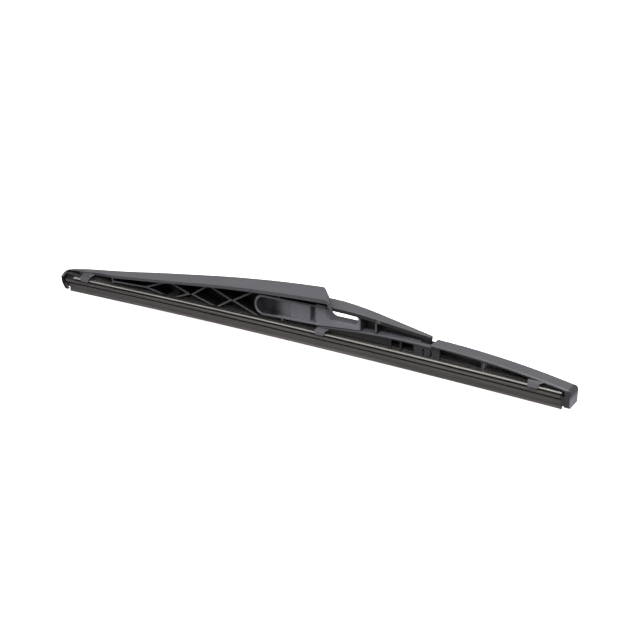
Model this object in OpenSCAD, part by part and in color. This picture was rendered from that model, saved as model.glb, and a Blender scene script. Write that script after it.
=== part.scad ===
// Rear wiper blade with a moulded main frame, a hinged rocker and a squeegee on two spring rails.
// Millimetres. X runs along the blade, -Y is the side with the open arm socket, +Z is away from
// the glass. Every piece is drawn with its height measured from the wiping edge at mid-length, and
// then moved so that the arm socket's centre is the origin.

/* [Blade] */
// Distance from mid-length to the outside of the left end stop
left_reach = 147.8; // [146:0.1:152]
// Distance from mid-length to the outside of the right end cap
right_reach = 149.2; // [148.4:0.1:154]
// Radius to which the free squeegee and its rails are curved
bow_r = 7000; // [4000:100:20000]

/* [Squeegee] */
// Distance from mid-length to the squeegee's left end
rubber_left = 145.3; // [140:0.1:145.4]
// Distance from the end cap's outside to the squeegee's right end
rubber_inset = 5.6; // [4.8:0.1:9.2]
// Height from the wiping edge to the underside of the rails
rail_z = 9.4; // [9:0.1:10]
// Thickness of the squeegee's lip
lip_t = 0.7; // [0.5:0.1:1]
// Height of the straight lip
lip_h = 2.3; // [1.8:0.1:2.8]
// Width over the wedge's shoulders
shoulder_w = 4.6; // [4:0.1:5.2]
// Height of the wedge's top edge
shoulder_z = 5.6; // [5:0.1:6]
// Thickness of the hinge neck between the wedge and the body
neck_t = 1; // [0.8:0.1:1.4]
// Height of the hinge neck
neck_h = 0.9; // [0.6:0.1:1.1]
// Width of the flange under the rails
flange_w = 6.8; // [6.4:0.1:7]
// Height of the flange's top edge
flange_top_z = 8.2; // [7.8:0.1:8.8]
// Width of the recess between the flange and the rails
recess_w = 4.8; // [4:0.1:5.4]
// Thickness of the web between the rail slots
slot_web_t = 2; // [1.6:0.1:2.6]
// Width of the crown over the rails
crown_w = 4.4; // [4:0.1:4.5]
// Thickness of the crown over the rails
crown_h = 0.9; // [0.7:0.1:1.2]

/* [Rails] */
// Thickness of a spring rail
rail_t = 0.8; // [0.6:0.05:1]
// Distance from the middle plane to a rail's outer edge
rail_edge = 4; // [3.8:0.05:4.2]
// Distance from mid-length to the rails' left end
rail_left = 138.9; // [136:0.1:142.4]
// Distance from the end cap's outside to the rails' right end
rail_inset = 5; // [4.2:0.1:7.2]
// Gap between a rail and its slot in the squeegee
rail_gap = 0.08; // [0.05:0.01:0.12]

/* [Frame] */
// Thickness of the wall at the back of the lattice
web_t = 1; // [0.9:0.1:1.1]
// Width of the ribs, the arm socket and the rails of the frame
body_w = 6.8; // [6:0.1:7.6]
// Thickness of a lattice rib
rib_t = 0.9; // [0.7:0.05:1.2]
// Thickness of the cover's top
cover_t = 1.5; // [1.2:0.1:2]
// Depth of the cover's side lips
cover_lip = 1.9; // [1.7:0.1:2.4]
// Width of the cover at its right end
cover_w = 16.2; // [14:0.1:18]
// Height of the cover's top at the start of its curved stretch
cover_z = 22.8; // [22:0.1:24]
// Slope of the cover's straight stretch, rise over run
cover_slope = 0.135; // [0.12:0.001:0.14]
// Radius of the cover's curved stretch
cover_r = 885; // [600:5:1500]
// Where the cover's end crosses the middle plane
cover_end_x = 22; // [20:0.1:22.6]
// Angle of the cover's skewed end
cover_skew = 35.5; // [0:0.5:40]
// Angle at which the cover's end leans back from upright
cover_lean = 23; // [15:1:40]

/* [Arm socket] */
// Centre of the socket along the blade
socket_x = 30; // [28:0.1:32]
// Height of the socket's floor
floor_z = 17.9; // [17.6:0.1:18.2]
// Radius of the socket ring's left end, inside
ring_left_r = 4.4; // [4:0.1:4.8]
// Radius of the socket ring's right end, inside
ring_right_r = 2.8; // [2.4:0.1:3]
// Thickness of the socket ring
ring_t = 1.15; // [0.9:0.05:1.5]
// Length of the latch pocket
slot_l = 3.8; // [3.4:0.1:4.2]
// Radius in the corner between the pillar and the socket's floor
pillar_r = 4; // [2.5:0.1:4.5]

/* [Upper arm] */
// Height of the arm's top at its left end
arm_z = 25.6; // [25.3:0.1:26]
// Radius of the arm's curved stretch
arm_r = 205; // [180:5:260]
// Distance from mid-length to the arm's tip
arm_tip_x = 77.4; // [76.5:0.1:78]
// Width of the arm's top beside the cover
arm_w = 10.6; // [9:0.1:12]
// Thickness of the arm's top
arm_t = 1.1; // [0.9:0.1:1.3]
// Width of the arm's tip
arm_tip_w = 2.4; // [2:0.1:3]
// Depth of the lips along the arm's sides
arm_lip = 1.8; // [1.5:0.1:2.2]

/* [Rocker] */
// Where the rocker's pivot lies along the blade
pivot_x = 76.7; // [76:0.1:77.5]
// Height of the rocker's pivot
pivot_z = 12.4; // [12.2:0.1:12.8]
// Radius of the pivot studs
stud_r = 1.25; // [1:0.05:1.5]
// Running clearance round a stud, on the radius
stud_gap = 0.05; // [0.02:0.01:0.09]
// Gap between the neck's boss and the rocker's walls
side_gap = 0.2; // [0.1:0.05:0.3]
// Distance from mid-length to the rocker's left end
rocker_left = 16; // [15.6:0.1:16.4]
// Width of the low stretch, under the arm
low_w = 7.2; // [7:0.1:7.6]
// Width of the raised stretch
raised_w = 8.6; // [8:0.1:9.4]
// Width over the rocker's two walls
walls_w = 6.8; // [6.7:0.1:7]
// Thickness of the rocker's walls
wall_t = 1; // [0.9:0.1:1.1]
// Thickness of the rocker's top
rocker_t = 1.2; // [1.2:0.1:1.6]
// Rounding of the rocker's long edges
shoulder_r = 1.1; // [0.8:0.1:1.2]
// Height of the low stretch's top, under the arm
low_z = 16.4; // [16:0.1:16.5]
// Radius of the low stretch
low_r = 392; // [300:1:600]
// Height of the raised stretch's top, past the arm's tip
raised_z = 17.4; // [17.1:0.1:17.6]
// Radius of the raised stretch
raised_curve_r = 435; // [420:1:600]
// Gap between the arm's tip and the raised stretch
tip_gap = 1.7; // [1.4:0.1:2]
// Gap between the rocker's top and the frame over it
rocker_gap = 0.4; // [0.3:0.05:0.8]
// Length of the recessed panel beside the left claw
panel_l = 38; // [30:0.5:39]
// Length of the post at the panel's right end
post_l = 1.1; // [0.9:0.1:2]
// How far the pivot's plate reaches to the left of the pivot
plate_left = 7; // [5:0.1:8]
// How far the pivot's plate reaches to the right of the pivot
plate_right = 6.5; // [5:0.1:8]
// Distance from the pivot to the rib on its left
inner_rib = 14.5; // [12:0.1:16]
// How far the outer rib stands left of the middle of its window
outer_rib = 2.4; // [0:0.1:4]

/* [Claws] */
// Width of a claw along the blade
claw_l = 5; // [4.5:0.1:5.5]
// Width over a claw, across the blade
claw_w = 10; // [9.8:0.1:10.6]
// How far a claw reaches under the rail
claw_drop = 0.8; // [0.7:0.1:1.2]
// Bevel along a claw's foot
claw_bevel = 0.9; // [0.4:0.1:1]
// Running gap between a claw and the squeegee or a rail
claw_gap = 0.15; // [0.1:0.05:0.2]
// Where the left claw stands, to its middle
left_claw_x = -130.8; // [-132:0.1:-130]
// Distance from the end cap's outside to the middle of the rocker's right claw
right_claw_inset = 18.4; // [17.8:0.1:19.2]
// Length of the right end cap
cap_l = 3.2; // [2.8:0.1:3.6]

/* [Hidden] */
arc_fn = 96;
long_fn = 2000;
bow_fn = 6400;
far = 400;
eps = 0.01;
// Heights that follow from the squeegee's section
slot_z = rail_z - rail_gap;
slot_h = rail_t + 2 * rail_gap;
crown_z = slot_z + slot_h;
rubber_z = crown_z + crown_h;
flange_z = shoulder_z + neck_h;
roof_z = rubber_z + 0.3;
rail_roof_z = rail_z + rail_t + 0.2;
// Places that follow from the frame's outline
cover_bend_x = -55;
cover_half_end = cover_w / 2;
cover_mid_x = cover_bend_x + cover_slope * cover_r;
cover_mid_z = cover_z - sqrt(pow(cover_r, 2) - pow(cover_mid_x - cover_bend_x, 2));
cover_end_z = cover_mid_z + sqrt(pow(cover_r, 2) - pow(cover_mid_x - cover_end_x - 6, 2));
lip_turn = 0.35;
arm_mid_x = 20.3;
arm_bend_x = 49;
arm_bend_z = arm_z - arm_r + sqrt(pow(arm_r, 2) - pow(arm_bend_x - arm_mid_x, 2));
arm_slope = (arm_bend_x - arm_mid_x) / (arm_bend_z - arm_z + arm_r);
arm_tip_z = arm_bend_z - arm_slope * (arm_tip_x - arm_bend_x);
lattice_x = -112;
wall_x = -137;
body_half = body_w / 2;
// The socket ring's two end circles
ring_left_x = -14.9;
ring_left_z = 17.7;
ring_right_x = 36.9;
ring_right_z = floor_z + ring_right_r;
ring_bend_x = 16;
ring_bend_z = 14.9;
ring_roof_z = 22.9;
latch_x = 11.8;
pillar_x = latch_x + slot_l;
pillar_l = 5;
plate_t = 1.2;
socket_z = ring_right_z;
// The arm's top goes on under the cover to here
arm_left_x = 17;
// Places that follow from the rocker's outline
claw_half = claw_w / 2;
wall_out = walls_w / 2;
wall_in = wall_out - wall_t;
low_x = 67;
low_drop = low_r - sqrt(pow(low_r, 2) - pow(pivot_x + 1.4 - low_x, 2));
raised_x = 70;
step_x = arm_tip_x + tip_gap;
cap_x = right_reach - cap_l;
rubber_right = right_reach - rubber_inset;
rail_right = right_reach - rail_inset;
right_claw_x = right_reach - right_claw_inset;
left_foot_x = rocker_left + claw_l / 2;
panel_x = left_foot_x + panel_l;
plate_x0 = pivot_x - plate_left;
plate_x1 = pivot_x + plate_right;
inner_rib_x = pivot_x - inner_rib;
outer_rib_x = (plate_x1 + right_claw_x) / 2 - outer_rib;
panel_back = 0.9;
boss_gap = 0.2;
boss_r = low_z - low_drop - rocker_t - pivot_z - boss_gap;
collar_w = 6;
stop_z = 7.2;
stop_t = 1.7;
stop_half = 4.3;
neck_l = 4;
neck_w = 2;
neck_gap = 0.4;
neck_x = pivot_x - neck_l + 0.6;

// A drawing of the side view, as a slab that spans the width w
module across(w) {
  rotate([90, 0, 0])
    linear_extrude(height = w, center = true)
      children();
}

// A drawing of the plan view, as a tall column
module upright() {
  translate([0, 0, -far / 2])
    linear_extrude(height = far)
      children();
}

// Corner points of a quarter round, from its right side to its top, about the given centre
function quarter(centre, r) = [for (a = [0:15:90]) centre + r * [cos(a), sin(a)]];

// A section swept along the curve that the free squeegee takes, between two places
module along_bow(x0, x1) {
  start = 90 - asin(x1 / bow_r);
  stop = 90 - asin(x0 / bow_r);
  translate([0, 0, -bow_r])
    rotate([90, 0, 0])
      rotate([0, 0, start])
        rotate_extrude(angle = stop - start, $fn = bow_fn)
          translate([bow_r, 0])
            rotate(-90)
              children();
}

// A section swept along an arc with its highest point at (top_x, top_z)
module along_arc(radius, top_x, top_z, x0, x1) {
  start = 90 - asin((x1 - top_x) / radius);
  stop = 90 - asin((x0 - top_x) / radius);
  translate([top_x, 0, top_z - radius])
    rotate([90, 0, 0])
      rotate([0, 0, start])
        rotate_extrude(angle = stop - start, $fn = long_fn)
          translate([radius, 0])
            rotate(-90)
              children();
}

// A section with the given right side, going up, and the same mirrored on its left
module mirrored(side) {
  last = len(side) - 1;
  polygon(concat(side, [for (i = [last:-1:0]) [-side[i][0], side[i][1]]]));
}

// The squeegee's section, with y as the height over the wiping edge
module rubber_section() {
  mirrored([
    [lip_t / 2, 0],
    [lip_t / 2, lip_h],
    [shoulder_w / 2, shoulder_z - 0.4],
    [shoulder_w / 2, shoulder_z],
    [neck_t / 2, shoulder_z],
    [neck_t / 2, flange_z],
    [flange_w / 2 - 0.3, flange_z],
    [flange_w / 2, flange_z + 0.3],
    [flange_w / 2, flange_top_z],
    [recess_w / 2, flange_top_z],
    [recess_w / 2, slot_z],
    [slot_web_t / 2, slot_z],
    [slot_web_t / 2, crown_z],
    [crown_w / 2, crown_z],
    [crown_w / 2, crown_z + 0.4],
    [crown_w / 2 - 0.5, rubber_z]
  ]);
}

// The room that a claw leaves for the squeegee and its rails
module passage_section() {
  mirrored([
    [flange_w / 2 + claw_gap, -1],
    [flange_w / 2 + claw_gap, rail_z - claw_gap],
    [rail_edge + claw_gap, rail_z - claw_gap],
    [rail_edge + claw_gap, rail_z + rail_t + claw_gap],
    [crown_w / 2 + claw_gap, rail_z + rail_t + claw_gap],
    [crown_w / 2 + claw_gap, rubber_z + claw_gap]
  ]);
}

// The side view of the squeegee with the room over it, up to roof
module clear_of_rubber(roof) {
  reach = 180;
  line = [for (x = [-reach:30:reach]) [x, roof - pow(x, 2) / (2 * bow_r)]];
  polygon(concat([[reach, -far], [-reach, -far]], line));
}

// The side view of all that lies under the cover's top, lowered by drop
module under_cover(drop) {
  reach = cover_bend_x + left_reach;
  translate([0, -drop]) {
    polygon([
      [-left_reach, 0],
      [cover_bend_x + eps, 0],
      [cover_bend_x + eps, cover_z],
      [-left_reach, cover_z - cover_slope * reach]
    ]);
    intersection() {
      translate([cover_mid_x, cover_mid_z])
        circle(r = cover_r, $fn = long_fn);
      translate([cover_bend_x, 0])
        square([socket_x - cover_bend_x, far]);
    }
  }
}

// The side view of all that lies under the arm's top, lowered by drop
module under_arm(drop) {
  translate([0, -drop]) {
    intersection() {
      translate([arm_mid_x, arm_z - arm_r])
        circle(r = arm_r, $fn = long_fn);
      square([arm_bend_x, far]);
    }
    polygon([
      [arm_bend_x - eps, 0],
      [arm_tip_x, 0],
      [arm_tip_x, arm_tip_z],
      [arm_bend_x - eps, arm_bend_z]
    ]);
  }
}

// The side view of the room that the rocker needs under the frame
module rocker_room() {
  intersection() {
    translate([low_x, low_z - low_r + rocker_gap])
      circle(r = low_r, $fn = long_fn);
    translate([rocker_left - 2 * rocker_gap, -far / 8])
      square([far, far]);
  }
}

// The plan view of the cover, set back on the near side of its left end, over the strip
module cover_plan() {
  side = [
    [-100, 4.5],
    [-90, 5.3],
    [-80, 5.85],
    [-50, 6.75],
    [-10, cover_half_end - 0.4],
    [cover_end_x, cover_half_end],
    [socket_x, cover_half_end]
  ];
  last = len(side) - 1;
  polygon(concat(
    [[-left_reach, 0.4], [3.5 - left_reach, 2.7], [-134, 3.9], [-113, 3.9]],
    side,
    [for (i = [last:-1:0]) [side[i][0], -side[i][1]]],
    [[-113, -3.7], [-123, -1.5], [-134, -1.2], [3.5 - left_reach, 0.1]]
  ));
}

// A plan drawing and its mirror image
module both_sides_y() {
  children();
  mirror([0, 1])
    children();
}

// All that lies left of the cover's skewed end, whose top edge is rounded, moved back by inset
module cover_end_form(inset) {
  round_r = 3.4;
  slide = (cover_end_z - round_r - arm_z + round_r * sin(cover_lean)) / cos(cover_lean);
  centre = [-slide * sin(cover_lean) - round_r * cos(cover_lean), cover_end_z - round_r];
  step = (90 - cover_lean) / 9;
  edge = [for (i = [0:9]) centre + round_r * [cos(cover_lean + i * step), sin(cover_lean + i * step)]];
  translate([cover_end_x, 0, 0])
    rotate([0, 0, cover_skew])
      across(far)
        translate([-inset, 0])
          polygon(concat(
            [[-far, -far / 8], [(arm_z + far / 8) * tan(cover_lean), -far / 8]],
            edge,
            [[centre[0], far / 8], [-far, far / 8]]
          ));
}

// The cover: a thin top with lips down its sides and a wall down its skewed end
module cover() {
  intersection() {
    union() {
      across(far)
        difference() {
          under_cover(0);
          under_cover(cover_t);
        }
      difference() {
        across(far)
          difference() {
            under_cover(0);
            rotate(-lip_turn)
              under_cover(cover_lip);
          }
        upright()
          translate([-cover_t, 0])
            resized_plan();
      }
    }
    upright()
      cover_plan();
    cover_end_form(0);
  }
  intersection() {
    difference() {
      across(far)
        under_cover(0);
      cover_end_form(cover_t);
      translate([-far / 2, -far / 2, -far + arm_z - 1])
        cube([far, far, far]);
    }
    upright()
      cover_plan();
    cover_end_form(0);
  }
}

// The plan of the hollow inside the cover's lips
module resized_plan() {
  both_sides_y()
    polygon([
      [-100 + 2, 0],
      [-100 + 2, 4.5 - cover_t],
      [-80, 5.85 - cover_t],
      [-50, 6.75 - cover_t],
      [-10, cover_half_end - 0.4 - cover_t],
      [cover_end_x, cover_half_end - cover_t],
      [socket_x, cover_half_end - cover_t],
      [socket_x, 0]
    ]);
}

// The socket's outline in the side view, larger by grow all round
module socket_outline(grow) {
  translate([ring_left_x, ring_left_z])
    circle(r = ring_left_r + grow, $fn = arc_fn);
  polygon([
    [ring_left_x, ring_left_z - ring_left_r - grow],
    [ring_bend_x + grow, ring_bend_z - grow],
    [ring_bend_x + grow, ring_roof_z + grow],
    [ring_left_x, ring_left_z + ring_left_r + grow]
  ]);
  polygon([
    [ring_bend_x - 1, floor_z - grow],
    [ring_right_x, floor_z - grow],
    [ring_right_x, ring_right_z + ring_right_r + grow],
    [ring_bend_x - 1, ring_roof_z + grow]
  ]);
  translate([ring_right_x, ring_right_z])
    circle(r = ring_right_r + grow, $fn = arc_fn);
}

// A straight rib in the side view between two points
module rib(from, to) {
  run = to - from;
  translate(from)
    rotate(atan2(run[1], run[0]))
      translate([-rib_t / 2, -rib_t / 2])
        square([norm(run) + rib_t, rib_t]);
}

// A diamond of four ribs, from its left, top, right and foot
module diamond(left, top, right, foot) {
  rib(left, top);
  rib(top, right);
  rib(right, foot);
  rib(foot, left);
}

// The lattice of the frame's left half, and the upright rib in the arm
module lattice() {
  rib([lattice_x, 9], [lattice_x, 15]);
  rib([-111.5, 11.6], [-90, 12.7]);
  diamond([-89.3, 12.8], [-74, 18.8], [-61.2, 14.5], [-72.5, 10]);
  diamond([-59, 14.7], [-48.6, 21.7], [-34.7, 16.5], [-44, 10.7]);
  rib([-33.4, 16.5], [-18.4, 25.2]);
  rib([-33.4, 16.5], [-17, 10.6]);
  rib([-6, 22], [-6, 28]);
  rib([-3.9, 10], [-3.9, 14]);
  rib([49.3, 17], [49.3, 24]);
}

// The frame's body in the side view, without the cover
module body_outline(roof) {
  difference() {
    union() {
      intersection() {
        under_cover(cover_t / 2);
        window(wall_x, cover_end_x - 5);
      }
      intersection() {
        under_arm(0.1);
        translate([arm_left_x - 1, 0])
          square([far, far]);
      }
    }
    rocker_room();
    clear_of_rubber(roof);
  }
}

// The arm's top with its lips, tapered in plan
module arm_top() {
  intersection() {
    union() {
      across(far)
        difference() {
          under_arm(0);
          under_arm(arm_t);
        }
      difference() {
        across(far)
          difference() {
            under_arm(0);
            under_arm(arm_lip);
          }
        upright()
          arm_plan(rib_t);
      }
    }
    upright()
      arm_plan(0);
  }
}

// The arm's plan, narrower by inset at each side
module arm_plan(inset) {
  both_sides_y()
    polygon([
      [arm_left_x, 0],
      [arm_left_x, arm_w / 2 - inset],
      [cover_end_x + 5, arm_w / 2 - inset],
      [arm_tip_x + eps, arm_tip_w / 2 - inset],
      [arm_tip_x + eps, 0]
    ]);
}

// The plan of the wall at the back of the lattice, which comes forward to the middle in the arm
module back_plan() {
  polygon([
    [-far / 2, body_half],
    [-far / 2, body_half - web_t],
    [33, body_half - web_t],
    [37, -web_t / 2],
    [far / 4, -web_t / 2],
    [far / 4, web_t / 2],
    [38, web_t / 2],
    [34, body_half]
  ]);
}

// The socket: ring, floor, latch plates and pillar
module socket() {
  across(body_w)
    difference() {
      union() {
        socket_outline(ring_t);
        // The floor thickens towards the left, over the rocker's end
        translate([pillar_x, ring_bend_z - 1.6])
          square([ring_right_x - pillar_x + 1, floor_z + 1.6 - ring_bend_z]);
        // The ring's right end goes straight down to the rocker
        translate([ring_right_x, ring_bend_z])
          square([ring_right_r + ring_t, ring_right_z - ring_bend_z]);
      }
      socket_outline(0);
      rocker_room();
    }
  intersection() {
    across(far)
      socket_outline(ring_t / 2);
    union() {
      upright()
        latch_plan();
      across(body_w)
        pillar_side();
    }
  }
}

// The plan of the plate that slopes out from the ring's left end, with the latch pocket at its end
module latch_plan() {
  polygon([
    [-far / 8, 2.6],
    [-far / 8, 1],
    [-13, 1],
    [1, -2.6],
    [latch_x, -2.6],
    [latch_x, 1.8],
    [pillar_x + 1, 1.8],
    [pillar_x + 1, 3],
    [latch_x - plate_t, 3],
    [latch_x - plate_t, -1.3],
    [1.3, -1.3],
    [-12, 2.6]
  ]);
}

// The side view of the pillar, which runs into the floor with a large radius
module pillar_side() {
  translate([pillar_x, ring_bend_z + 0.8])
    square([pillar_l, far / 20]);
  difference() {
    translate([pillar_x + pillar_l - 1, floor_z - 1])
      square([pillar_r + 1, pillar_r + 1]);
    translate([pillar_x + pillar_l + pillar_r, floor_z + pillar_r])
      circle(r = pillar_r, $fn = arc_fn);
  }
}

// A claw round the rails at x, with the given shoulder in its section and a flare at the right of
// its root; the child is a side view that also limits it
module claw(x, shoulder, flare) {
  foot_z = rail_z - claw_drop - pow(x, 2) / (2 * bow_r);
  half_l = claw_l / 2;
  difference() {
    intersection() {
      across(claw_w)
        polygon([
          [x - half_l, foot_z + 0.5],
          [x - half_l + 0.5, foot_z],
          [x + half_l - 0.9, foot_z],
          [x + half_l - 0.2, foot_z + 0.7],
          [x + half_l + 0.7, foot_z + 3.2],
          [x + half_l + flare[0], foot_z + flare[1]],
          [x + half_l + flare[0], far],
          [x - half_l, far]
        ]);
      translate([x - 2 * claw_l, 0, 0])
        rotate([90, 0, 90])
          linear_extrude(height = 4 * claw_l)
            mirrored(concat(
              [[claw_half - claw_bevel - 1, foot_z - 1], [claw_half, foot_z + claw_bevel]],
              shoulder
            ));
      across(far)
        children();
    }
    along_bow(x - 2 * claw_l, x + 2 * claw_l)
      passage_section();
  }
}

// The curved wall that stops the squeegee at the left end, open at its foot for the wedge and lip
module end_stop() {
  stop_r = 8.4;
  difference() {
    intersection() {
      across(far)
        difference() {
          translate([stop_r - left_reach, stop_z])
            circle(r = stop_r, $fn = arc_fn);
          translate([stop_r + stop_t - left_reach, stop_z])
            circle(r = stop_r, $fn = arc_fn);
        }
      across(far)
        under_cover(0.1);
      translate([-left_reach - 1, 0, 0])
        rotate([90, 0, 90])
          linear_extrude(height = far / 20)
            mirrored([[stop_half, stop_z - 6], [stop_half, stop_z + 0.9], [0.7, stop_z + 3.6]]);
    }
    translate([-rubber_left - 0.2, -shoulder_w / 2 - 0.3, -far])
      cube([far, shoulder_w + 0.6, far + flange_z - 2]);
  }
}

// The neck that hangs from the arm's tip into the rocker, with its boss and studs
module neck() {
  across(neck_w)
    intersection() {
      under_arm(0.1);
      translate([neck_x, pivot_z])
        square([neck_l, far]);
    }
  translate([pivot_x, 0, pivot_z])
    rotate([90, 0, 0])
      cylinder(r = stud_r, h = 2 * wall_out, center = true, $fn = arc_fn);
  across(2 * (wall_in - side_gap))
    difference() {
      translate([pivot_x, pivot_z])
        circle(r = boss_r, $fn = arc_fn);
      clear_of_rubber(roof_z);
    }
}

// Main frame: cover, lattice, arm socket, arm, left claw and end stop in one moulding
module main_frame() {
  in_place()
    color([0.13, 0.13, 0.14]) {
      intersection() {
        across(far)
          difference() {
            body_outline(rail_roof_z);
            socket_outline(ring_t / 2);
          }
        upright()
          back_plan();
      }
      across(body_w)
        intersection() {
          body_outline(roof_z);
          difference() {
            lattice();
            socket_outline(ring_t / 2);
          }
        }
      difference() {
        cover();
        across(crown_w + 2 * claw_gap)
          clear_of_rubber(rubber_z + claw_gap);
      }
      socket();
      arm_top();
      claw(left_claw_x, [[claw_half, 10.2], [claw_half - 0.5, 10.7], [1, 12.6]], [4.1, 6])
        under_cover(0.3);
      end_stop();
      neck();
    }
}

// The section of the rocker's top: a flat bar with rounded upper edges
module top_section(w) {
  mirrored(concat([[w / 2, -rocker_t]], quarter([w / 2 - shoulder_r, -shoulder_r], shoulder_r)));
}

// The side view under the low stretch's top, lowered by drop
module under_low(drop) {
  intersection() {
    translate([low_x, low_z - low_r - drop])
      circle(r = low_r, $fn = long_fn);
    translate([rocker_left, 0])
      square([step_x + 2 - rocker_left, far]);
  }
}

// The side view under the raised stretch's top, lowered by drop
module under_raised(drop) {
  intersection() {
    translate([raised_x, raised_z - raised_curve_r - drop])
      circle(r = raised_curve_r, $fn = long_fn);
    translate([step_x, 0])
      square([cap_x + 1 - step_x, far]);
  }
}

// The near wall's openings, as a side view
module wall_windows() {
  window(left_foot_x, panel_x);
  window(panel_x + post_l, inner_rib_x);
  window(inner_rib_x + rib_t, plate_x0);
  window(plate_x1, outer_rib_x);
  window(outer_rib_x + rib_t, right_claw_x - claw_l / 2 + 0.2);
  window(right_claw_x, far);
}

// An opening of full height in the side view, between two places along the blade
module window(x0, x1) {
  translate([x0, 0])
    square([x1 - x0, far]);
}

// The two springy slits beside a stud's bore
module stud_slits() {
  for (side = [0, 180])
    rotate(side)
      intersection() {
        difference() {
          circle(r = 2.6, $fn = arc_fn);
          circle(r = 1.85, $fn = arc_fn);
        }
        polygon([[0, 0], [4, 4.4], [4, -4.4]]);
      }
}

// The side view of the rocker's walls
module wall_side() {
  difference() {
    union() {
      under_low(rocker_t / 2);
      under_raised(rocker_t / 2);
    }
    clear_of_rubber(rail_roof_z);
    translate([pivot_x, pivot_z])
      stud_slits();
  }
}

// The rocker's walls: the far one whole, the near one open but for ribs and the pivot's plate
module rocker_walls() {
  translate([0, wall_in + wall_t / 2, 0])
    across(wall_t)
      wall_side();
  translate([0, -wall_in - wall_t / 2, 0])
    across(wall_t)
      difference() {
        wall_side();
        wall_windows();
      }
  // The panel beside the left claw stands back from the near wall's face
  translate([0, -wall_in - wall_t / 2 + panel_back, 0])
    across(wall_t)
      difference() {
        intersection() {
          wall_side();
          window(rocker_left + claw_l - 1, panel_x - 0.5);
        }
        clear_of_rubber(roof_z);
      }
  // Cross ribs join the near wall's ribs to the far wall, over the squeegee
  across(2 * wall_in + eps)
    difference() {
      intersection() {
        wall_side();
        union() {
          window(inner_rib_x, inner_rib_x + rib_t);
          window(outer_rib_x, outer_rib_x + rib_t);
        }
      }
      clear_of_rubber(roof_z);
    }
}

// Rocker: hinged bridge with two claws and the right end cap
module rocker() {
  left_claw_top = claw_top(low_r, low_x, low_z, left_foot_x);
  right_claw_top = claw_top(raised_curve_r, raised_x, raised_z, right_claw_x) - 1;
  in_place()
    color([0.12, 0.12, 0.13])
      difference() {
        union() {
          along_arc(low_r, low_x, low_z, rocker_left + 1.6, step_x + 1)
            top_section(low_w);
          along_arc(raised_curve_r, raised_x, raised_z, step_x, cap_x + 1)
            top_section(raised_w);
          rocker_walls();
          claw(left_foot_x, claw_shoulder(left_claw_top, 1.8), [2.4, 4])
            left_end_side();
          claw(right_claw_x, claw_shoulder(right_claw_top, 1.2), [4.5, 5.3])
            under_raised(0.2);
          end_cap();
        }
        translate([neck_x - 1, -neck_w / 2 - neck_gap, pivot_z])
          cube([neck_l + 2, neck_w + 2 * neck_gap, far]);
        translate([pivot_x, 0, pivot_z])
          rotate([90, 0, 0])
            cylinder(r = stud_r + stud_gap, h = far, center = true, $fn = arc_fn);
      }
}

// Height of a claw's top under an arc
function claw_top(radius, top_x, top_z, x) =
  top_z - radius + sqrt(pow(radius, 2) - pow(x - top_x, 2)) - 0.3;

// The rounded shoulder of a claw's section, with its top at top_z
function claw_shoulder(top_z, r) = quarter([claw_half - r, top_z - r], r);

// The side view of the rocker's left end, with its upper corner cut back
module left_end_side() {
  difference() {
    under_low(0.2);
    translate([rocker_left, low_z - 4.6])
      rotate(48)
        translate([-far / 8, 0])
          square(far / 4);
  }
}

// The cap that covers the squeegee's right end
module end_cap() {
  top_z = claw_top(raised_curve_r, raised_x, raised_z, cap_x) + 0.2;
  foot_z = 1.2;
  edge_r = 1.3;
  intersection() {
    across(raised_w) {
      translate([cap_x, foot_z])
        square([cap_l - edge_r, top_z - foot_z]);
      translate([cap_x, foot_z + edge_r])
        square([cap_l, top_z - foot_z - 3 * edge_r]);
      translate([right_reach - 2 * edge_r, top_z - 2 * edge_r])
        circle(r = 2 * edge_r, $fn = arc_fn);
      translate([right_reach - edge_r, foot_z + edge_r])
        circle(r = edge_r, $fn = arc_fn);
    }
    translate([cap_x, 0, 0])
      rotate([90, 0, 90])
        linear_extrude(height = cap_l)
          cap_face(foot_z, top_z);
  }
  // A block inside the cap that the squeegee's end faces
  translate([rubber_right + 0.4, -collar_w / 2, foot_z + 0.4])
    cube([cap_x - rubber_right, collar_w, flange_top_z - 2.4 - foot_z]);
}

// The end cap seen along the blade
module cap_face(foot_z, top_z) {
  corner_r = 1.4;
  half = raised_w / 2;
  translate([-half, foot_z + corner_r])
    square([2 * half, top_z - foot_z - 2 * corner_r]);
  translate([corner_r - half, foot_z])
    square([2 * (half - corner_r), top_z - foot_z]);
  for (side = [-1, 1], z = [foot_z + corner_r, top_z - corner_r])
    translate([side * (half - corner_r), z])
      circle(r = corner_r, $fn = arc_fn);
}

// Squeegee: one length of extruded rubber
module wiper_rubber() {
  in_place()
    color([0.18, 0.16, 0.15])
      along_bow(-rubber_left, rubber_right)
        rubber_section();
}

// A spring rail in the squeegee's slot, on one side
module rail(side) {
  in_place()
    color([0.72, 0.72, 0.7])
      along_bow(-rail_left, rail_right)
        translate([side > 0 ? slot_web_t / 2 + rail_gap : -rail_edge, rail_z])
          square([rail_edge - slot_web_t / 2 - rail_gap, rail_t]);
}

// The near rail
module rail_front() {
  rail(-1);
}

// The far rail
module rail_rear() {
  rail(1);
}

// Moves the whole blade so that the arm socket's centre is the origin
module in_place() {
  translate([-socket_x, 0, -socket_z])
    children();
}

main_frame();
rocker();
wiper_rubber();
rail_front();
rail_rear();
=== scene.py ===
# Dresses the rear wiper blade: moulded plastic, squeegee rubber, spring rails and studio light
import math

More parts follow.
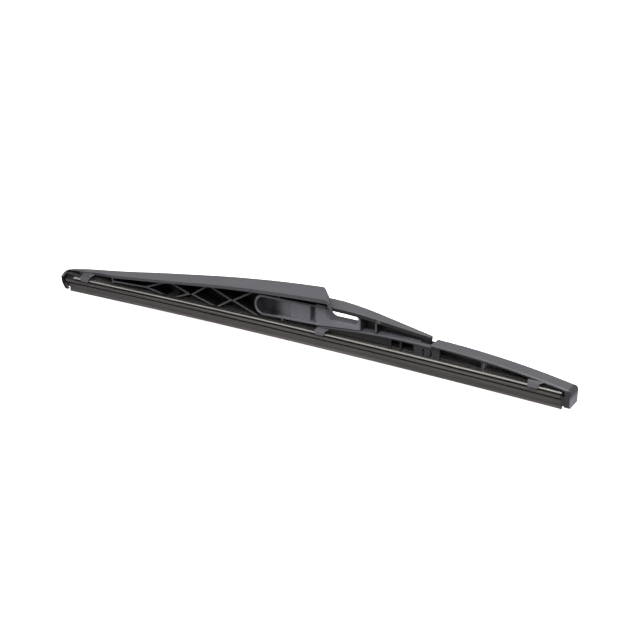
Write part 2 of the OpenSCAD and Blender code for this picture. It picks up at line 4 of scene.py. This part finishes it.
import bmesh
import bpy
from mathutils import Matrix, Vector


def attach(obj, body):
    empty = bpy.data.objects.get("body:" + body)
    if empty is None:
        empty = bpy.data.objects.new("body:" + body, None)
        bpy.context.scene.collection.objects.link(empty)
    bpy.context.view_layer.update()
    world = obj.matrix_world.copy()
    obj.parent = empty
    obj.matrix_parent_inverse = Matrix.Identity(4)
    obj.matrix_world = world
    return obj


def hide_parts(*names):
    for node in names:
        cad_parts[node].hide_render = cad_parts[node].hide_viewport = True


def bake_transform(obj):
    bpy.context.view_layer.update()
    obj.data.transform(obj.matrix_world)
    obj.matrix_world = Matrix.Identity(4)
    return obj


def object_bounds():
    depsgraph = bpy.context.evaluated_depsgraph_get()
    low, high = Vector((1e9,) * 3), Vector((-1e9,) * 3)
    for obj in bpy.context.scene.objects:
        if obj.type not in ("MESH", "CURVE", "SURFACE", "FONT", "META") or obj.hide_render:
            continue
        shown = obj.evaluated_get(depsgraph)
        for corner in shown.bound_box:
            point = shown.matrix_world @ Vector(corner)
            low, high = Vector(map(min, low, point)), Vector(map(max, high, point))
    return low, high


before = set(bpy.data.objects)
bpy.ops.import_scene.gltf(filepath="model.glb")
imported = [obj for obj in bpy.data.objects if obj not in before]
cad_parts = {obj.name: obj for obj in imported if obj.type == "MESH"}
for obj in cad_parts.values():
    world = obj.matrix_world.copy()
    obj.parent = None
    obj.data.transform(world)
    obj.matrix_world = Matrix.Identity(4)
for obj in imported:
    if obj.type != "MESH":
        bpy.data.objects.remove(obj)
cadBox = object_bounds()

mm = 0.001
scene = bpy.context.scene


# Node helpers for the studio, the finishes and the sweep tree
def newFinish(name):
    mat = bpy.data.materials.new(name)
    mat.use_nodes = True
    return mat, mat.node_tree, mat.node_tree.nodes["Principled BSDF"]


def addNode(tree, kind, links=None, settings=None, **values):
    node = tree.nodes.new(kind)
    for key, value in (settings or {}).items():
        setattr(node, key, value)
    for key, value in values.items():
        node.inputs[key.replace("_", " ")].default_value = value
    for key, source in (links or {}).items():
        tree.links.new(source, node.inputs[key])
    return node


def addNoise(tree, place, scale, detail=2.0, rough=0.5, stretch=(1.0, 1.0, 1.0)):
    mapping = addNode(tree, "ShaderNodeMapping", {"Vector": place}, Scale=stretch)
    return addNode(tree, "ShaderNodeTexNoise", {"Vector": mapping.outputs[0]},
                   Scale=scale, Detail=detail, Roughness=rough).outputs["Fac"]


def addRange(tree, value, low, high, toLow=0.0, toHigh=1.0, soft=False):
    settings = {"interpolation_type": "SMOOTHSTEP" if soft else "LINEAR"}
    node = addNode(tree, "ShaderNodeMapRange", {"Value": value}, settings)
    for key, number in (("From Min", low), ("From Max", high), ("To Min", toLow), ("To Max", toHigh)):
        node.inputs[key].default_value = number
    return node.outputs[0]


def addMath(tree, operation, a, b=None):
    node = addNode(tree, "ShaderNodeMath", None, {"operation": operation})
    for socket, value in zip(node.inputs, (a, b)):
        if value is None:
            continue
        if isinstance(value, (int, float)):
            socket.default_value = value
        else:
            tree.links.new(value, socket)
    return node.outputs[0]


mixSockets = {
    # first input and result of a Mix node of each kind
    "FLOAT": (2, 0),
    "RGBA": (6, 2),
}


def addMix(tree, kind, factor, first, second):
    node = addNode(tree, "ShaderNodeMix", None, {"data_type": kind})
    start, result = mixSockets[kind]
    tree.links.new(factor, node.inputs[0])
    for socket, value in ((node.inputs[start], first), (node.inputs[start + 1], second)):
        if isinstance(value, tuple):
            socket.default_value = (*value, 1.0)
        elif isinstance(value, float):
            socket.default_value = value
        else:
            tree.links.new(value, socket)
    return node.outputs[result]


# One in a band between two values, in mm, and nothing outside it
def addSpan(tree, value, low, high, soft):
    rise = addRange(tree, value, (low - soft) * mm, (low + soft) * mm, soft=True)
    fall = addRange(tree, value, (high - soft) * mm, (high + soft) * mm, 1.0, 0.0, True)
    return addMath(tree, "MULTIPLY", rise, fall)


# Camera and studio
camera = {
    "target": (-13.9, 0.0, -5.64),  # mm
    "distance": 654.0,  # mm
    "azimuth": 30.9,  # degrees from the blade's open side towards its rocker end
    "elevation": 22.5,
    "sensor": 36.0,  # mm
    "focalPixels": 1325.0,
    "framePixels": 640.0,
    "clip": (0.01, 60.0),  # m
}


def addCamera(c):
    data = bpy.data.cameras.new("camera")
    data.sensor_width = c["sensor"]
    data.lens = c["sensor"] * c["focalPixels"] / c["framePixels"]
    data.clip_start, data.clip_end = c["clip"]
    obj = bpy.data.objects.new("camera", data)
    scene.collection.objects.link(obj)
    a, e = math.radians(c["azimuth"]), math.radians(c["elevation"])
    back = Vector((math.sin(a) * math.cos(e), -math.cos(a) * math.cos(e), math.sin(e)))
    obj.location = (Vector(c["target"]) + back * c["distance"]) * mm
    obj.rotation_euler = back.to_track_quat("Z", "Y").to_euler()
    bpy.context.scene.camera = obj


studio = {
    "skyTop": 0.75,
    "skyFront": 0.05,  # how bright the room is behind the camera
    "skyBack": 0.55,
    "skyDepth": (-0.7, 0.5),  # from the front to the back, between which the room gets brighter
    "skyHeight": (0.3, 0.95),  # between which it turns into the bright top
    "floorDrop": 0.4,  # mm below the lip's lowest point
    "floorSize": 30000.0,  # mm
    "floorGrey": 0.85,
    "floorRoughness": 0.9,
    "floorShare": 0.34,  # of the floor's light that reaches the blade, as over a pale but unlit table
    "floorGlow": 0.80,  # keeps the backdrop white where the blade shades it
    "lamps": (
        # name, place in mm, size in mm, watts
        ("key", (230.0, -300.0, 900.0), 420.0, 10.5),
        ("lowKey", (200.0, -650.0, 600.0), 400.0, 3.6),
        ("rightFill", (900.0, -420.0, 260.0), 400.0, 3.0),
    ),
}


def addLamp(name, place, size, watts):
    data = bpy.data.lights.new(name, "AREA")
    data.shape = "SQUARE"
    data.size = size * mm
    data.energy = watts
    obj = bpy.data.objects.new(name, data)
    scene.collection.objects.link(obj)
    obj.location = Vector(place) * mm
    obj.rotation_euler = Vector(place).to_track_quat("Z", "Y").to_euler()


def addSky(s):
    world = bpy.data.worlds.new("studioRoom")
    scene.world = world
    world.use_nodes = True
    tree = world.node_tree
    way = addNode(tree, "ShaderNodeTexCoord").outputs["Generated"]
    axes = addNode(tree, "ShaderNodeSeparateXYZ", {"Vector": way}).outputs
    depth = addRange(tree, axes["Y"], *s["skyDepth"], s["skyFront"], s["skyBack"], True)
    height = addRange(tree, axes["Z"], *s["skyHeight"], soft=True)
    room = addMix(tree, "FLOAT", height, depth, s["skyTop"])
    seen = addNode(tree, "ShaderNodeLightPath").outputs["Is Camera Ray"]
    sky = tree.nodes["Background"]
    sky.inputs["Color"].default_value = (1.0, 1.0, 1.0, 1.0)
    # past the floor's edge the camera sees the floor's white
    tree.links.new(addMix(tree, "FLOAT", seen, room, 1.0), sky.inputs["Strength"])


def addFloor(s):
    half = s["floorSize"] * mm / 2
    z = cadBox[0].z - s["floorDrop"] * mm
    mesh = bpy.data.meshes.new("floor")
    corners = [(-half, -half, z), (half, -half, z), (half, half, z), (-half, half, z)]
    mesh.from_pydata(corners, [], [(0, 1, 2, 3)])
    floor = bpy.data.objects.new("floor", mesh)
    scene.collection.objects.link(floor)
    mat, tree, shader = newFinish("paleFloor")
    shader.inputs["Roughness"].default_value = s["floorRoughness"]
    shader.inputs["Emission Color"].default_value = (1.0, 1.0, 1.0, 1.0)
    seen = addNode(tree, "ShaderNodeLightPath").outputs["Is Camera Ray"]
    tree.links.new(addRange(tree, seen, 0.0, 1.0, 0.0, s["floorGlow"]), shader.inputs["Emission Strength"])
    grey = s["floorGrey"]
    low = grey * s["floorShare"]
    tree.links.new(addMix(tree, "RGBA", seen, (low, low, low), (grey, grey, grey)), shader.inputs["Base Color"])
    mesh.materials.append(mat)


addCamera(camera)
addSky(studio)
addFloor(studio)
for lamp in studio["lamps"]:
    addLamp(*lamp)
scene.view_settings.view_transform = "Standard"
print("camera, floor and lamps placed")

# The strip's parts follow one bow, so each is its section swept along it by a node tree
bow = {
    "middleX": -30.0,  # mm, where the lip is highest
    "lipZ": -20.7,
    "radius": 7000.0,
    "step": 2.5,  # mm between sections
}

# Black moulded plastic of the main frame and the rocker. A finish reads Object coordinates in metres,
# so a noise scale of 1000 is one feature a millimetre
plastic = {
    "dark": (0.050, 0.0485, 0.0555),
    "pale": (0.064, 0.0620, 0.0700),
    # edge: lighter colour of the moulded edges, a painted highlight along them
    "edge": (0.13, 0.1265, 0.138),
    "grainScale": 3800.0,  # spark-eroded grain, about a quarter of a millimetre
    "grainHeight": 0.012,  # mm
    "flowScale": 120.0,
    "flowStretch": (0.35, 1.0, 1.0),
    "flowRange": (0.35, 0.7),
    "flowShare": 0.6,  # of the roughness, and the grain gives the rest
    "roughRange": (0.3, 0.7),
    "roughLow": 0.42,
    "roughHigh": 0.56,
    "gloss": 0.5,
    "pocketGloss": 0.1,  # on the faces that markDeepFaces picks
    "edgeRadius": 0.22,  # mm, how far the moulded edges look rounded
    "edgeTurn": (0.995, 0.85),  # cosine of an edge's turn, from no painted edge highlight to the full one
    "edgeSamples": 6,
    "pocketDepth": 10.0,  # mm, how far away a wall still paints shade into a pocket
    "pocketRange": (0.58, 0.93),  # how open a place is, from the darkest painted shade to the full tone
    "pocketPaintedShade": 0.03,
    "pocketSamples": 6,
    "uprightRange": (0.55, 0.25),  # upward part of a face's normal, from not upright to upright
    "areaEnds": 0.7,  # mm, how softly an area ends along the blade
    "areaSides": 0.06,  # across it
    "areaHeights": 0.3,  # and upwards
}
# Tones painted by place. They stand for the photo's light and shade where the lamps don't give it, so they
# are not the plastic's own colour. Each area has x, distance from the middle plane and z in mm, whether
# only upright faces count, and "tone", which multiplies the pockets' shade, or "open", which replaces it
frameAreas = (
    {"x": (-8.0, 60.0), "y": (3.45, 6.0), "z": (-12.0, 20.0), "upright": True, "tone": 0.15},  # neck's lips
    {"x": (10.4, 60.0), "y": (0.0, 3.3), "z": (-14.0, 20.0), "upright": True, "tone": 0.1},  # neck's pockets
    {"x": (43.0, 50.5), "y": (3.0, 6.0), "z": (-12.0, -5.0), "upright": True, "open": 0.3},  # studs' ends
    {"x": (-49.6, 10.4), "y": (0.0, 3.6), "z": (-7.5, 2.2), "upright": False, "open": 2.5},  # arm socket
    {"x": (-52.0, -36.5), "y": (0.0, 3.3), "z": (-7.5, 2.2), "upright": False, "open": 0.3,
     "ends": 4.0},  # arm socket's shaded end
    {"x": (-185.0, -167.0), "y": (0.0, 9.0), "z": (-26.0, -5.0), "upright": True, "tone": 0.12},  # end stop
    {"x": (-164.0, -157.0), "y": (4.4, 6.0), "z": (-20.0, -8.0), "upright": True, "open": 1.8},  # left claw
)
rockerAreas = (
    {"x": (-14.0, 43.0), "y": (1.3, 3.4), "z": (-8.0, -3.6), "upright": False, "open": 1.0},  # low top
    {"x": (-14.0, 43.0), "y": (0.0, 1.3), "z": (-8.0, -3.6), "upright": False, "open": 2.2},  # its middle
    {"x": (-20.0, 36.0), "y": (0.0, 4.4), "z": (-14.0, 6.0), "upright": True, "tone": 0.08},  # low stretch
    {"x": (36.0, 114.0), "y": (0.0, 4.4), "z": (-16.0, 6.0), "upright": True, "open": 0.3},  # raised stretch
    {"x": (66.0, 102.0), "y": (0.0, 3.3), "z": (-16.0, -4.0), "upright": True, "open": 3.0,
     "ends": 9.0},  # inside the raised stretch
    {"x": (-20.0, 110.0), "y": (4.4, 6.0), "z": (-20.0, -5.0), "upright": True, "open": 1.8},  # claws
    {"x": (117.4, 125.0), "y": (0.0, 7.0), "z": (-13.6, -4.0), "upright": False, "open": 0.4,
     "ends": 0.5, "heights": 1.5},  # cap's upper corner
    {"x": (113.0, 118.6), "y": (0.0, 9.0), "z": (-30.0, -8.0), "upright": True, "open": 0.35},  # cap's sides
    {"x": (118.6, 125.0), "y": (0.0, 6.0), "z": (-30.0, -14.0), "upright": True, "open": 3.0,
     "ends": 0.4, "heights": 2.0},  # cap's end, a bright reflection in the photo
)


# Painted light and shade in the plastic's base colour: an ambient occlusion node paints shade into pockets, and
# each area paints a lighter or darker tone by place
def addPaintedLightAndShade(tree, place, p, areas):
    spots = addNode(tree, "ShaderNodeSeparateXYZ", {"Vector": place}).outputs
    aside = addMath(tree, "ABSOLUTE", spots["Y"])
    facing = addNode(tree, "ShaderNodeTexCoord").outputs["Normal"]
    faces = addNode(tree, "ShaderNodeSeparateXYZ", {"Vector": facing}).outputs
    upright = addRange(tree, faces["Z"], *p["uprightRange"])
    shade = addNode(tree, "ShaderNodeAmbientOcclusion", None,
                    {"samples": p["pocketSamples"], "only_local": True}, Distance=p["pocketDepth"] * mm)
    pocket = addRange(tree, shade.outputs["AO"], *p["pocketRange"], p["pocketPaintedShade"], 1.0)
    tone = pocket
    for area in areas:
        along = addSpan(tree, spots["X"], *area["x"], area.get("ends", p["areaEnds"]))
        across = addSpan(tree, aside, *area["y"], p["areaSides"])
        upwards = addSpan(tree, spots["Z"], *area["z"], area.get("heights", p["areaHeights"]))
        mask = addMath(tree, "MULTIPLY", addMath(tree, "MULTIPLY", along, across), upwards)
        if area["upright"]:
            mask = addMath(tree, "MULTIPLY", mask, upright)
        if "open" in area:
            there = area["open"]
        else:
            there = addMath(tree, "MULTIPLY", pocket, area["tone"])
        tone = addMix(tree, "FLOAT", mask, tone, there)
    return tone


def makePlastic(name, p, areas, gloss):
    mat, tree, shader = newFinish(name)
    place = addNode(tree, "ShaderNodeTexCoord").outputs["Object"]
    grain = addNoise(tree, place, p["grainScale"], 3.0, 0.6)
    flow = addNoise(tree, place, p["flowScale"], 4.0, 0.55, p["flowStretch"])
    body = addMix(tree, "RGBA", addRange(tree, flow, *p["flowRange"]), p["dark"], p["pale"])
    rounded = addNode(tree, "ShaderNodeBevel", None, {"samples": p["edgeSamples"]},
                      Radius=p["edgeRadius"] * mm).outputs[0]
    plain = addNode(tree, "ShaderNodeNewGeometry").outputs["Normal"]
    turned = addNode(tree, "ShaderNodeVectorMath", {0: rounded, 1: plain}, {"operation": "DOT_PRODUCT"})
    # lighter moulded edges: a painted highlight along them, broken up by the grain
    edgeHighlight = addMath(tree, "MULTIPLY", addRange(tree, turned.outputs["Value"], *p["edgeTurn"]), grain)
    withEdgeHighlight = addMix(tree, "RGBA", edgeHighlight, body, p["edge"])
    # painted light and shade, by pockets and by place, scale the colour
    tone = addPaintedLightAndShade(tree, place, p, areas)
    withPaintedLightAndShade = addNode(tree, "ShaderNodeVectorMath", {0: withEdgeHighlight, "Scale": tone}, {"operation": "SCALE"})
    tree.links.new(withPaintedLightAndShade.outputs[0], shader.inputs["Base Color"])
    uneven = addMath(tree, "ADD", addMath(tree, "MULTIPLY", flow, p["flowShare"]),
                     addMath(tree, "MULTIPLY", grain, 1.0 - p["flowShare"]))
    rough = addRange(tree, uneven, *p["roughRange"], p["roughLow"], p["roughHigh"])
    tree.links.new(rough, shader.inputs["Roughness"])
    shader.inputs["Specular IOR Level"].default_value = gloss
    bump = addNode(tree, "ShaderNodeBump", {"Height": grain, "Normal": rounded}, None,
                   Strength=1.0, Distance=p["grainHeight"] * mm)
    tree.links.new(bump.outputs[0], shader.inputs["Normal"])
    return mat


# Squeegee rubber: brownish, with streaks along the strip and a dull sheen
rubber = {
    "dark": (0.026, 0.022, 0.022),
    "pale": (0.118, 0.101, 0.099),
    "dust": (0.16, 0.145, 0.145),
    "dustSpecks": (0.62, 0.78),
    "dustStreaks": (0.45, 0.65),
    "lipRise": (2.4, -0.2),  # mm above the lip's edge, between which painted light makes the bare lip lighter
    "lipPaintedLight": 2.0,
    # painted shade in the neck, in the groove under the rail and on the crown: heights above the lip's edge in mm,
    # and the share of tone left
    "shaded": ((5.45, 6.6, 0.1), (8.1, 9.5, 0.08), (10.0, 12.0, 0.06)),
    "shadedSoft": 0.06,  # mm
    "streakScale": 1600.0,
    "streakStretch": (0.012, 1.0, 1.0),
    "streakRange": (0.3, 0.72),
    "roughRange": (0.3, 0.7),
    "speckScale": 5200.0,
    "speckShare": 0.15,  # of the relief
    "streakHeight": 0.02,  # mm
    "roughLow": 0.34,
    "roughHigh": 0.55,
    "sheen": 0.12,
    "sheenRoughness": 0.5,
}


def makeRubber(name, r):
    mat, tree, shader = newFinish(name)
    place = addNode(tree, "ShaderNodeTexCoord").outputs["Object"]
    streak = addNoise(tree, place, r["streakScale"], 4.0, 0.65, r["streakStretch"])
    speck = addNoise(tree, place, r["speckScale"], 2.0, 0.5)
    body = addMix(tree, "RGBA", addRange(tree, streak, *r["streakRange"]), r["dark"], r["pale"])
    dusty = addMath(tree, "MULTIPLY", addRange(tree, speck, *r["dustSpecks"]),
                    addRange(tree, streak, *r["dustStreaks"]))
    spots = addNode(tree, "ShaderNodeSeparateXYZ", {"Vector": place}).outputs
    along = addMath(tree, "SUBTRACT", spots["X"], bow["middleX"] * mm)
    fall = addMath(tree, "DIVIDE", addMath(tree, "MULTIPLY", along, along), 2 * bow["radius"] * mm)
    rise = addMath(tree, "ADD", addMath(tree, "SUBTRACT", spots["Z"], bow["lipZ"] * mm), fall)
    # painted light: the bare lip gets lighter towards its edge
    lipStart, lipEnd = r["lipRise"]
    tone = addRange(tree, rise, lipStart * mm, lipEnd * mm, 1.0, r["lipPaintedLight"], True)
    # painted shade in the neck, the groove under the rail and on the crown
    for low, high, share in r["shaded"]:
        mask = addSpan(tree, rise, low, high, r["shadedSoft"])
        tone = addMath(tree, "MULTIPLY", tone, addRange(tree, mask, 0.0, 1.0, 1.0, share))
    coat = addMix(tree, "RGBA", dusty, body, r["dust"])
    withPaintedLightAndShade = addNode(tree, "ShaderNodeVectorMath", {0: coat, "Scale": tone}, {"operation": "SCALE"})
    tree.links.new(withPaintedLightAndShade.outputs[0], shader.inputs["Base Color"])
    rough = addRange(tree, streak, *r["roughRange"], r["roughHigh"], r["roughLow"])
    tree.links.new(rough, shader.inputs["Roughness"])
    relief = addMath(tree, "ADD", streak, addMath(tree, "MULTIPLY", speck, r["speckShare"]))
    bump = addNode(tree, "ShaderNodeBump", {"Height": relief}, None, Strength=1.0, Distance=r["streakHeight"] * mm)
    tree.links.new(bump.outputs[0], shader.inputs["Normal"])
    shader.inputs["Sheen Weight"].default_value = r["sheen"]
    shader.inputs["Sheen Roughness"].default_value = r["sheenRoughness"]
    return mat


# Rolled spring steel of the two rails
steel = {
    "bright": (0.84, 0.815, 0.78),
    "dull": (0.56, 0.535, 0.50),
    "rollScale": 5000.0,
    "rollStretch": (0.006, 1.0, 1.0),
    "rollShare": 0.6,  # of the unevenness, and larger patches give the rest
    "patchScale": 90.0,
    "toneRange": (0.35, 0.65),
    "roughLow": 0.26,
    "roughHigh": 0.42,
    "rollHeight": 0.004,  # mm
}


def makeSteel(name, s):
    mat, tree, shader = newFinish(name)
    place = addNode(tree, "ShaderNodeTexCoord").outputs["Object"]
    roll = addNoise(tree, place, s["rollScale"], 3.0, 0.6, s["rollStretch"])
    patch = addNoise(tree, place, s["patchScale"], 3.0, 0.5)
    tone = addMath(tree, "ADD", addMath(tree, "MULTIPLY", roll, s["rollShare"]),
                   addMath(tree, "MULTIPLY", patch, 1.0 - s["rollShare"]))
    tree.links.new(addMix(tree, "RGBA", addRange(tree, tone, *s["toneRange"]), s["dull"], s["bright"]),
                   shader.inputs["Base Color"])
    tree.links.new(addRange(tree, tone, *s["toneRange"], s["roughHigh"], s["roughLow"]),
                   shader.inputs["Roughness"])
    bump = addNode(tree, "ShaderNodeBump", {"Height": roll}, None, Strength=1.0, Distance=s["rollHeight"] * mm)
    tree.links.new(bump.outputs[0], shader.inputs["Normal"])
    shader.inputs["Metallic"].default_value = 1.0
    return mat


framePlastic = makePlastic("framePlastic", plastic, frameAreas, plastic["gloss"])
rockerPlastic = makePlastic("rockerPlastic", plastic, rockerAreas, plastic["gloss"])
pocketPlastic = makePlastic("pocketPlastic", plastic, frameAreas, plastic["pocketGloss"])
squeegeeRubber = makeRubber("squeegeeRubber", rubber)
springSteel = makeSteel("springSteel", steel)
print("finishes made")

# Sections: mm from the blade's middle plane, mm above the lip's edge, and each corner's rounding
squeegee = {
    # half of the section from the lip up
    "corners": (
        (0.35, 0.0, 0.05), (0.35, 2.3, 0.6), (2.3, 5.2, 0.25), (2.3, 5.6, 0.12), (0.5, 5.6, 0.2), (0.5, 6.5, 0.2),
        (3.1, 6.5, 0.0), (3.4, 6.8, 0.25), (3.4, 8.2, 0.15), (2.4, 8.2, 0.2), (2.4, 9.32, 0.12), (1.0, 9.32, 0.0),
        (1.0, 10.28, 0.0), (2.2, 10.28, 0.1), (2.2, 10.68, 0.1), (1.7, 11.18, 0.1),
    ),
    "left": -145.3,  # mm from the lip's highest point
    "right": 143.6,
}
rails = {
    "corners": ((1.08, 9.4, 0.16), (4.0, 9.4, 0.16), (4.0, 10.2, 0.16), (1.08, 10.2, 0.16)),
    "left": -138.9,
    "right": 144.2,
}
arcSteps = 4  # pieces of each rounded corner
cornerLimit = 0.48  # the most of a side that its corner's rounding may take


def roundCorners(corners):
    points = []
    count = len(corners)
    for i, (y, z, r) in enumerate(corners):
        here = Vector((y, z))
        before = Vector(corners[i - 1][:2])
        after = Vector(corners[(i + 1) % count][:2])
        if r <= 0:
            points.append(here)
            continue
        u, v = (before - here).normalized(), (after - here).normalized()
        half = u.angle(v) / 2
        reach = min(r / math.tan(half), cornerLimit * (before - here).length, cornerLimit * (after - here).length)
        first, last = here + u * reach, here + v * reach
        for k in range(arcSteps + 1):  # a quadratic arc from one side to the other
            t = k / arcSteps
            points.append(first * (1 - t) ** 2 + here * 2 * t * (1 - t) + last * t ** 2)
    return points


def mirrored(corners):
    return [(-y, z, r) for y, z, r in reversed(corners)]


def makeSectionCurve(name, corners):
    points = roundCorners(corners)
    data = bpy.data.curves.new(name, "CURVE")
    data.dimensions = "2D"
    spline = data.splines.new("POLY")
    spline.points.add(len(points) - 1)
    for point, p in zip(spline.points, points):
        point.co = (-p.x * mm, -p.y * mm, 0.0, 1.0)  # a swept section's X runs to -Y and its Y to -Z
    spline.use_cyclic_u = True
    obj = bpy.data.objects.new(name, data)
    scene.collection.objects.link(obj)
    return obj


def makeSweepTree():
    tree = bpy.data.node_groups.new("stripAlongBow", "GeometryNodeTree")
    tree.interface.new_socket("Geometry", in_out="OUTPUT", socket_type="NodeSocketGeometry")
    sizes = ("Left End", "Right End", "Bow Radius", "Middle X", "Lip Z", "Step")
    kinds = [(name, "NodeSocketFloat") for name in sizes]
    for name, kind in kinds + [("Section", "NodeSocketObject"), ("Finish", "NodeSocketMaterial")]:
        tree.interface.new_socket(name, in_out="INPUT", socket_type=kind)
    given = addNode(tree, "NodeGroupInput").outputs
    radius = given["Bow Radius"]
    start = addNode(tree, "ShaderNodeCombineXYZ", {"X": given["Left End"]}).outputs[0]
    end = addNode(tree, "ShaderNodeCombineXYZ", {"X": given["Right End"]}).outputs[0]
    line = addNode(tree, "GeometryNodeCurvePrimitiveLine", {"Start": start, "End": end}).outputs[0]
    cut = addNode(tree, "GeometryNodeResampleCurve", {"Curve": line, "Length": given["Step"]},
                  {"mode": "LENGTH"}).outputs[0]
    spot = addNode(tree, "GeometryNodeInputPosition").outputs[0]
    along = addNode(tree, "ShaderNodeSeparateXYZ", {"Vector": spot}).outputs["X"]
    angle = addMath(tree, "DIVIDE", along, radius)  # the distance along is an arc
    reach = addMath(tree, "MULTIPLY", addMath(tree, "SINE", angle), radius)
    fall = addMath(tree, "MULTIPLY", addMath(tree, "SUBTRACT", addMath(tree, "COSINE", angle), 1.0), radius)
    bent = addNode(tree, "ShaderNodeCombineXYZ", {
        "X": addMath(tree, "ADD", reach, given["Middle X"]),
        "Z": addMath(tree, "ADD", fall, given["Lip Z"]),
    }).outputs[0]
    moved = addNode(tree, "GeometryNodeSetPosition", {"Geometry": cut, "Position": bent}).outputs[0]
    upright = addNode(tree, "GeometryNodeSetCurveNormal", {"Curve": moved}, {"mode": "Z_UP"}).outputs[0]
    section = addNode(tree, "GeometryNodeObjectInfo", {"Object": given["Section"]}).outputs["Geometry"]
    sweep = addNode(tree, "GeometryNodeCurveToMesh", {"Curve": upright, "Profile Curve": section},
                    Fill_Caps=True).outputs[0]
    real = addNode(tree, "GeometryNodeRealizeInstances", {"Geometry": sweep}).outputs[0]
    painted = addNode(tree, "GeometryNodeSetMaterial", {"Geometry": real, "Material": given["Finish"]}).outputs[0]
    addNode(tree, "NodeGroupOutput", {"Geometry": painted})
    return tree


def sweepStrip(name, tree, corners, part, finish):
    section = makeSectionCurve(name + "Section", corners)
    seed = bpy.data.objects.new(name + "Seed", bpy.data.meshes.new(name + "Seed"))
    scene.collection.objects.link(seed)
    modifier = seed.modifiers.new("strip", "NODES")
    modifier.node_group = tree
    values = {"Left End": part["left"] * mm, "Right End": part["right"] * mm, "Bow Radius": bow["radius"] * mm,
              "Middle X": bow["middleX"] * mm, "Lip Z": bow["lipZ"] * mm, "Step": bow["step"] * mm,
              "Section": section, "Finish": finish}
    for item in tree.interface.items_tree:
        if item.in_out == "INPUT":
            modifier[item.identifier] = values[item.name]
    bpy.context.view_layer.update()
    graph = bpy.context.evaluated_depsgraph_get()
    mesh = bpy.data.meshes.new_from_object(seed.evaluated_get(graph), depsgraph=graph)
    mesh.name = name
    piece = bpy.data.objects.new(name, mesh)
    scene.collection.objects.link(piece)
    seed.modifiers.remove(modifier)
    bpy.data.objects.remove(seed)
    bpy.data.objects.remove(section)
    print(name, "swept:", len(mesh.polygons), "faces")
    return piece


stripBend = {
    # the angle under which the strip's faces are shaded smooth
    "from": (-160.8, 0.0, -11.3),  # mm
    "to": (-11.5, 0.0, -11.3),
    "smoothUnder": 35.0,  # degrees between faces
}


def fitStrip(piece, node):
    mesh = piece.data
    mesh.polygons.foreach_set("use_smooth", [True] * len(mesh.polygons))
    mesh.set_sharp_from_angle(angle=math.radians(stripBend["smoothUnder"]))
    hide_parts(node)
    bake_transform(piece)


sweepTree = makeSweepTree()
wholeSqueegee = list(squeegee["corners"]) + mirrored(squeegee["corners"])
fitStrip(sweepStrip("squeegeeStrip", sweepTree, wholeSqueegee, squeegee, squeegeeRubber),
         "wiper_rubber")
fitStrip(sweepStrip("railNear", sweepTree, mirrored(rails["corners"]), rails, springSteel),
         "rail_front")
fitStrip(sweepStrip("railFar", sweepTree, rails["corners"], rails, springSteel), "rail_rear")
print("strip parts fitted")

# The main frame is its CAD shape with the neck's wall moved from the middle plane to the far side,
# so that the rocker's top shows in front of it, as in the photo
neckWall = {
    "from": 9.5,  # mm along the blade
    "to": 44.0,
    "half": 0.5,  # mm, half of the wall's thickness in the CAD shape
    "tolerance": 0.02,  # mm
    "farFace": (2.6, 0.94),  # where its far face comes to lie at the two ends
    "footBelow": -3.5,  # corners under this height are the wall's foot
    "footDrop": 0.2,
    "merge": 0.001,  # mm
}


def moveNeckWall(node, name, w):
    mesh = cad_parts[node].data.copy()
    mesh.name = name
    shape = bmesh.new()
    shape.from_mesh(mesh)
    bmesh.ops.remove_doubles(shape, verts=shape.verts, dist=w["merge"] * mm)
    moved = 0
    for v in shape.verts:
        x, y = v.co.x / mm, v.co.y / mm
        if w["from"] < x < w["to"] and abs(abs(y) - w["half"]) < w["tolerance"]:
            share = (x - w["from"]) / (w["to"] - w["from"])
            far = w["farFace"][0] + (w["farFace"][1] - w["farFace"][0]) * share
            v.co.y = (far - w["half"] + y) * mm
            if v.co.z < w["footBelow"] * mm:
                v.co.z -= w["footDrop"] * mm
            moved += 1
    bmesh.ops.recalc_face_normals(shape, faces=shape.faces)
    for face in shape.faces:
        face.smooth = False
    shape.to_mesh(mesh)
    shape.free()
    piece = bpy.data.objects.new(name, mesh)
    scene.collection.objects.link(piece)
    print(name, "wall corners moved:", moved)
    return piece


# Faces deep in the lattice and in the end stop. They get less gloss, so that they stay dark under the lamps;
# lengths are in mm
deepFaces = {
    "from": -190.0,
    "to": -49.6,
    "stop": -167.0,  # left of here only the end stop
    "wall": -3.3,  # how near the open side a wall may be
    "side": -4.3,
    "back": 3.0,
    "floor": -9.0,  # below this a face that looks up is a pocket's floor
    "facing": 0.5,  # part of a face's normal towards a side, from which it counts as looking there
}


def markDeepFaces(mesh, finish, d):
    mesh.materials.append(finish)
    deep = 0
    for face in mesh.polygons:
        x, y, z = face.center / mm
        if not d["from"] < x < d["to"]:
            continue
        looksUp = face.normal.z >= d["facing"]
        wall = face.normal.y < -d["facing"] and y > d["wall"]
        side = abs(face.normal.y) <= d["facing"] and d["side"] < y < d["back"] and (not looksUp or z < d["floor"])
        if wall or side or (x < d["stop"] and not looksUp):
            face.material_index = 1
            deep += 1
    print(mesh.name, "deep faces:", deep, "of", len(mesh.polygons))


def dress(mesh, finish):
    mesh.materials.clear()
    mesh.materials.append(finish)


moulding = moveNeckWall("main_frame", "frameMoulding", neckWall)
dress(moulding.data, framePlastic)
markDeepFaces(moulding.data, pocketPlastic, deepFaces)
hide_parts("main_frame")
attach(moulding, "frame")
dress(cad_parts["rocker"].data, rockerPlastic)  # the rocker keeps its CAD shape
print("moulded pieces dressed")

bpy.context.view_layer.update()
